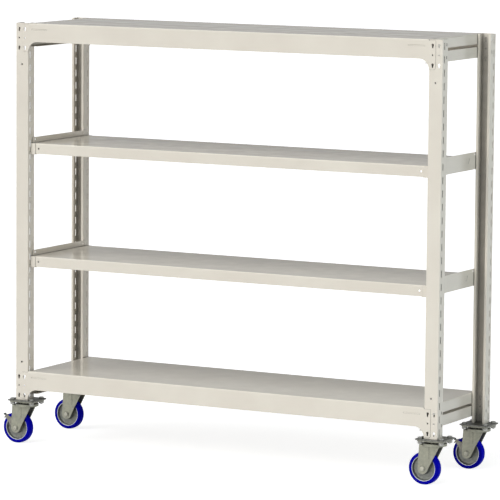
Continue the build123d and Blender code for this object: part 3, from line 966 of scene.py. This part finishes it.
@dataclass
class PlateFasteners:
    """Bolts, nuts and washers that clamp the caster plates. Lengths in metres."""

    flats: float = 0.017
    shank: float = 0.005
    head: float = 0.0064
    washer_radius: float = 0.010
    chamfer: float = 0.0005
    pitch: float = 0.0015
    threads: int = 3
    spacing_x: float = 0.087
    spacing_y: float = 0.076
    steps: int = 32

    def build(self, paint: Paintbox) -> None:
        """Makes the three groups.

        Args:
            paint: The finishes.
        """
        low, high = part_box("caster_bolts")
        self.foot = low.z
        self.top = high.z
        self.places = self.bolt_places()
        self.make_bolts(paint)
        self.make_nuts(paint)
        self.make_washers(paint)

    def bolt_places(self) -> list[Vector]:
        """Works out where the bolts are, from the base plates' own middles.

        Returns:
            The middle of each bolt, at zero height.
        """
        places = []
        for corner in CORNERS:
            low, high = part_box(f"base_plate_{corner}")
            middle = (low + high) / 2
            for x in (-self.spacing_x / 2, self.spacing_x / 2):
                for y in (-self.spacing_y / 2, self.spacing_y / 2):
                    places.append(Vector((middle.x + x, middle.y + y, 0)))
        return places

    def upright(self, place: Vector, height: float) -> Matrix:
        """Turns a shape made about Y so that it stands up at a bolt."""
        return Matrix.Translation((place.x, place.y, height)) @ Matrix.Rotation(math.radians(90), 4, "X")

    def standing(
        self, form: Form, points: list[Pair], place: Vector, height: float, round_off: float
    ) -> None:
        """Adds a turned shape whose axis stands upright.

        Args:
            form: The form to add to.
            points: Heights and radii of its half section.
            place: Middle of the bolt.
            height: Where its zero height is.
            round_off: Rounding of its corners.
        """
        part = Form(form.name)
        part.turned(points, round_off, Vector((0, 0, 0)), self.steps)
        form.take(part, self.upright(place, height))

    def make_bolts(self, paint: Paintbox) -> None:
        """Makes hexagon bolts with a threaded end.

        Args:
            paint: The finishes.
        """
        form = Form("plate_bolts")
        head_foot = self.top - self.head
        thread = []
        for turn in range(self.threads):
            along = self.chamfer + turn * self.pitch
            thread += [(along, self.shank), (along + self.pitch / 2, self.shank - self.chamfer)]
        long = head_foot - self.foot
        side = [(0.0, 0.0), (0.0, self.shank - self.chamfer)] + thread + [(long, self.shank), (long, 0.0)]
        for place in self.places:
            self.standing(form, side, place, self.foot, self.chamfer / 4)
            form.hexagon(self.flats, self.head, Matrix.Translation((place.x, place.y, head_foot)))
        form.finished("rack", "fastener_zinc", paint, ["caster_bolts"])

    def make_nuts(self, paint: Paintbox) -> None:
        """Makes hexagon nuts under the caster plates, chamfered on both faces.

        Args:
            paint: The finishes.
        """
        form = Form("plate_nuts")
        low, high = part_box("caster_nuts")
        half = (high.z - low.z) / 2
        down = Matrix.Rotation(math.pi, 4, "X")
        for place in self.places:
            middle = Matrix.Translation((place.x, place.y, low.z + half))
            form.hexagon(self.flats, half, middle)
            form.hexagon(self.flats, half, middle @ down)
        form.finished("rack", "fastener_zinc", paint, ["caster_nuts"])

    def make_washers(self, paint: Paintbox) -> None:
        """Makes flat washers with the rounded edge of a stamped part.

        Args:
            paint: The finishes.
        """
        form = Form("plate_washers")
        low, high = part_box("caster_washers")
        thick = high.z - low.z
        rim = self.washer_radius
        side = [(0.0, self.shank), (0.0, rim), (thick, rim), (thick, self.shank)]
        for place in self.places:
            self.standing(form, side, place, low.z, self.chamfer / 2)
        form.finished("rack", "fastener_zinc", paint, ["caster_washers"])


@dataclass
class HookStuds:
    """Riveted studs that hook the shelves and beams into the posts. Lengths in metres."""

    shank: float = 0.0027
    head: float = 0.0046
    dome: float = 0.002
    shoulder_share: float = 0.86
    tip_share: float = 0.4
    steps: int = 24

    def build(self, paint: Paintbox) -> None:
        """Makes all studs as one piece, each at its CAD stud's place.

        Args:
            paint: The finishes.
        """
        form = Form("hook_studs")
        for low, high in self.studs():
            middle = (low + high) / 2
            way = 1 if middle.x > 0 else -1
            long = high.x - low.x
            side = [
                (0.0, 0.0),
                (0.0, self.shank),
                (long - self.dome, self.shank),
                (long - self.dome, self.head),
                (long - self.dome / 2, self.head * self.shoulder_share),
                (long, self.head * self.tip_share),
                (long, 0.0),
            ]
            part = Form(form.name)
            part.turned(side, self.dome / 6, Vector((0, 0, 0)), self.steps)
            root = low.x if way > 0 else high.x
            aim = Matrix.Rotation(math.radians(-90 * way), 4, "Z")
            form.take(part, Matrix.Translation((root, middle.y, middle.z)) @ aim)
        form.finished("rack", "stud_steel", paint, ["shelf_hook_studs"])

    def studs(self) -> list[tuple[Vector, Vector]]:
        """Finds each stud of the CAD node.

        Returns:
            The lowest and highest corner of each.
        """
        copy = bmesh.new()
        copy.from_mesh(bpy.data.objects["shelf_hook_studs"].data)
        bmesh.ops.remove_doubles(copy, verts=list(copy.verts), dist=TOUCHING)
        boxes = []
        left = set(copy.verts)
        while left:
            found = {left.pop()}
            newest = set(found)
            while newest:
                near = {edge.other_vert(vert) for vert in newest for edge in vert.link_edges}
                newest = near - found
                found |= newest
            left -= found
            axes = [[vert.co[axis] for vert in found] for axis in range(3)]
            boxes.append((Vector([min(axis) for axis in axes]), Vector([max(axis) for axis in axes])))
        copy.free()
        return sorted(boxes, key=lambda pair: tuple(round(v, 4) for v in pair[0]))


@dataclass
class PedalCap:
    """Moulded cap on a brake pedal, with grip ribs across it. Lengths in metres, angle in degrees."""

    corner: str
    arm_angle: float = 40.0
    reach: float = 0.076
    long: float = 0.0076
    half_width: float = 0.0065
    thick: float = 0.006
    round_off: float = 0.0016
    round_steps: int = 4
    ribs: int = 3
    rib: float = 0.0005
    rib_steps: int = 2
    ribbed_share: float = 0.8

    def build(self, paint: Paintbox) -> None:
        """Makes the cap about the lever's pivot.

        Args:
            paint: The finishes, and the brake's place.
        """
        form = Form(f"pedal_cap_{self.corner}")
        body = Vector((self.long, 2 * self.half_width, self.thick - 2 * self.rib))
        form.block(body, self.round_off, self.round_steps, self.placed(paint, Vector((0, 0, 0))))
        bar = Vector((2 * self.rib, 2 * (self.half_width - self.round_off), 3 * self.rib))
        height = (self.thick - bar.z) / 2
        for number in range(self.ribs):
            along = ((number + 0.5) / self.ribs - 0.5) * self.long * self.ribbed_share
            for way in (-1, 1):
                place = self.placed(paint, Vector((along, 0, way * height)))
                form.block(bar, self.rib / 2, self.rib_steps, place)
        name = f"brake_pedal_cap_{self.corner}"
        form.finished(f"brake_{self.corner}", "cap_plastic", paint, [name])

    def placed(self, paint: Paintbox, offset: Vector) -> Matrix:
        """Place of a part of the cap.

        Args:
            paint: Gives the lever's pivot.
            offset: From the middle of the cap, in the lever's own frame.

        Returns:
            The place.
        """
        low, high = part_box(f"brake_pedal_cap_{self.corner}")
        hinge = paint.pivots[f"brake_{self.corner}"]
        pivot = Matrix.Translation((hinge.x, (low.y + high.y) / 2, hinge.z))
        arm = Matrix.Rotation(math.radians(self.arm_angle), 4, "Y")
        middle = Vector((self.long / 2 - self.reach, 0, 0)) + offset
        return pivot @ arm @ Matrix.Translation(middle)


@dataclass(frozen=True)
class FarLamp:
    """A wide, soft lamp far away. Its spread is in degrees, as seen from the rack."""

    name: str
    towards: Place
    level: float
    colour: Colour
    spread: float

    def add(self) -> None:
        """Adds the lamp to the scene."""
        data = bpy.data.lights.new(self.name, "SUN")
        data.energy = self.level
        data.color = self.colour
        data.angle = math.radians(self.spread)
        lamp = bpy.data.objects.new(self.name, data)
        lamp.rotation_euler = Vector(self.towards).to_track_quat("Z", "Y").to_euler()
        bpy.context.scene.collection.objects.link(lamp)


@dataclass(frozen=True)
class SideBox:
    """A square soft box near the rack's right end, facing it. Lengths in metres, power in watts."""

    name: str = "side_box"
    place: Place = (3.1, -0.3, 1.05)
    size: float = 2.0
    power: float = 13.0
    colour: Colour = (0.82, 0.97, 1.0)

    def add(self) -> None:
        """Adds the soft box to the scene, unseen by the camera."""
        data = bpy.data.lights.new(self.name, "AREA")
        data.size = self.size
        data.energy = self.power
        data.color = self.colour
        lamp = bpy.data.objects.new(self.name, data)
        lamp.location = self.place
        lamp.rotation_euler = (0.0, math.radians(90), 0.0)
        lamp.visible_camera = False
        bpy.context.scene.collection.objects.link(lamp)


FAR_LAMPS = (
    FarLamp("front_lamp", towards=(-0.45, -1.0, 0.2), level=0.95, colour=(1.0, 0.96, 0.89), spread=50.0),
    FarLamp("high_lamp", towards=(-0.25, -1.0, 1.35), level=1.6, colour=(0.94, 0.985, 1.0), spread=60.0),
    FarLamp("side_lamp", towards=(1.0, -0.25, 0.2), level=0.12, colour=(0.94, 1.0, 1.0), spread=60.0),
)


@dataclass
class Studio:
    """Floor, lamps, world and camera. Lengths in metres, angles in degrees."""

    floor_size: float = 160.0
    floor_colour: Colour = linear(206, 206, 206)
    floor_glow: float = 0.8
    front_level: float = 0.62
    rear_level: float = 0.34
    depth_span: Pair = (-0.2, 0.7)
    overhead_share: float = 0.2
    overhead_span: Pair = (0.25, 0.8)
    mirrored_rear: float = 0.5
    camera_place: Place = (6.770657, -12.549152, 2.508431)
    camera_turn: float = 28.27787
    camera_tilt: float = -6.77958
    camera_roll: float = 0.47309
    lens: float = 264.9656
    sensor: float = 36.0

    def build(self) -> None:
        """Makes everything around the rack."""
        self.make_camera()
        self.make_floor()
        self.make_world()
        for lamp in FAR_LAMPS:
            lamp.add()
        SideBox().add()

    def make_camera(self) -> None:
        """Camera at the photograph's place."""
        data = bpy.data.cameras.new("camera")
        data.sensor_width = self.sensor
        data.lens = self.lens
        data.clip_end = 2 * self.floor_size
        camera = bpy.data.objects.new("camera", data)
        upright = Matrix.Rotation(math.radians(90 + self.camera_tilt), 4, "X")
        turned = Matrix.Rotation(math.radians(self.camera_turn), 4, "Z") @ upright
        rolled = turned @ Matrix.Rotation(math.radians(self.camera_roll), 4, "Z")
        camera.matrix_world = Matrix.Translation(self.camera_place) @ rolled
        bpy.context.scene.collection.objects.link(camera)
        bpy.context.scene.camera = camera

    def make_floor(self) -> None:
        """Pale floor that shows white to the camera but for the rack's shadow."""
        mesh = bpy.data.meshes.new("floor")
        shape = bmesh.new()
        bmesh.ops.create_grid(shape, x_segments=1, y_segments=1, size=self.floor_size / 2)
        shape.to_mesh(mesh)
        shape.free()
        floor = bpy.data.objects.new("floor", mesh)
        bpy.context.scene.collection.objects.link(floor)
        s = Surface("floor_white")
        plain = s.node("ShaderNodeBsdfDiffuse", Color=self.floor_colour)
        rays = s.node("ShaderNodeLightPath")
        seen = s.maths("MAXIMUM", rays.outputs["Is Camera Ray"], rays.outputs["Is Glossy Ray"])
        glow = s.node("ShaderNodeEmission", Strength=s.maths("MULTIPLY", seen, self.floor_glow))
        both = s.node("ShaderNodeAddShader")
        s.feed(both.inputs[0], plain.outputs[0])
        s.feed(both.inputs[1], glow.outputs[0])
        output = s.node("ShaderNodeOutputMaterial")
        s.feed(output.inputs["Surface"], both.outputs[0])
        mesh.materials.append(s.material)

    def make_world(self) -> None:
        """Even light from all round, white where it is seen or mirrored."""
        world = bpy.data.worlds.new("studio")
        bpy.context.scene.world = world
        world.use_nodes = True
        tree = world.node_tree
        tree.nodes.clear()
        rays = tree.nodes.new("ShaderNodeLightPath")
        direction = tree.nodes.new("ShaderNodeTexCoord")
        parts = tree.nodes.new("ShaderNodeSeparateXYZ")
        tree.links.new(direction.outputs["Generated"], parts.inputs[0])
        lit = self.by_depth(tree, parts.outputs["Y"], self.front_level, self.rear_level)
        lit = self.dimmed_overhead(tree, lit, parts.outputs["Z"])
        reflected = self.by_depth(tree, parts.outputs["Y"], 1.0, self.mirrored_rear)
        level = self.chosen(tree, rays.outputs["Is Glossy Ray"], lit, reflected)
        level = self.chosen(tree, rays.outputs["Is Transmission Ray"], level, reflected)
        white = tree.nodes.new("ShaderNodeValue")
        white.outputs[0].default_value = 1.0
        level = self.chosen(tree, rays.outputs["Is Camera Ray"], level, white.outputs[0])
        light = tree.nodes.new("ShaderNodeBackground")
        tree.links.new(level, light.inputs["Strength"])
        output = tree.nodes.new("ShaderNodeOutputWorld")
        tree.links.new(light.outputs[0], output.inputs["Surface"])

    def by_depth(self, tree: bpy.types.NodeTree, depth: Socket, front: float, rear: float) -> Socket:
        """Level that falls from the front of the studio to its rear.

        Args:
            tree: The world's node tree.
            depth: Y of the direction looked in.
            front: Level towards the front.
            rear: Level towards the rear.

        Returns:
            The level.
        """
        made = tree.nodes.new("ShaderNodeMapRange")
        tree.links.new(depth, made.inputs["Value"])
        for name, value in zip(("From Min", "From Max", "To Min", "To Max"), (*self.depth_span, front, rear)):
            made.inputs[name].default_value = value
        return made.outputs["Result"]

    def dimmed_overhead(self, tree: bpy.types.NodeTree, level: Socket, height: Socket) -> Socket:
        """Level that falls to a share of itself straight overhead.

        Args:
            tree: The world's node tree.
            level: The level near the horizon.
            height: Z of the direction looked in.

        Returns:
            The dimmed level.
        """
        share = tree.nodes.new("ShaderNodeMapRange")
        tree.links.new(height, share.inputs["Value"])
        ends = (*self.overhead_span, 1.0, self.overhead_share)
        for name, value in zip(("From Min", "From Max", "To Min", "To Max"), ends):
            share.inputs[name].default_value = value
        made = tree.nodes.new("ShaderNodeMath")
        made.operation = "MULTIPLY"
        tree.links.new(level, made.inputs[0])
        tree.links.new(share.outputs["Result"], made.inputs[1])
        return made.outputs[0]

    def chosen(self, tree: bpy.types.NodeTree, switch: Socket, off: Socket, on: Socket) -> Socket:
        """One of two values.

        Args:
            tree: The world's node tree.
            switch: 0 takes the first value and 1 the second.
            off: First value.
            on: Second value.

        Returns:
            The chosen value.
        """
        made = tree.nodes.new("ShaderNodeMix")
        for name, value in (("Factor", switch), ("A", off), ("B", on)):
            tree.links.new(value, made.inputs[name])
        return made.outputs["Result"]


def main() -> None:
    """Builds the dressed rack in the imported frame."""
    logging.basicConfig(level=logging.INFO, format="%(name)s: %(message)s")
    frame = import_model()
    scene = bpy.context.scene
    scene.view_settings.view_transform = "Standard"
    Studio().build()
    record = frame["record"]
    paint = Paintbox(record)
    for name, piece in sorted(frame["nodes"].items()):
        paint.dress(name, piece)
        log.info("dressed %s", name)
    for corner in CORNERS:
        Wheel(corner).build(paint)
        Axle(corner).build(paint)
    PlateFasteners().build(paint)
    HookStuds().build(paint)
    for corner in BRAKED:
        PedalCap(corner).build(paint)


if __name__ == "__main__":
    main()
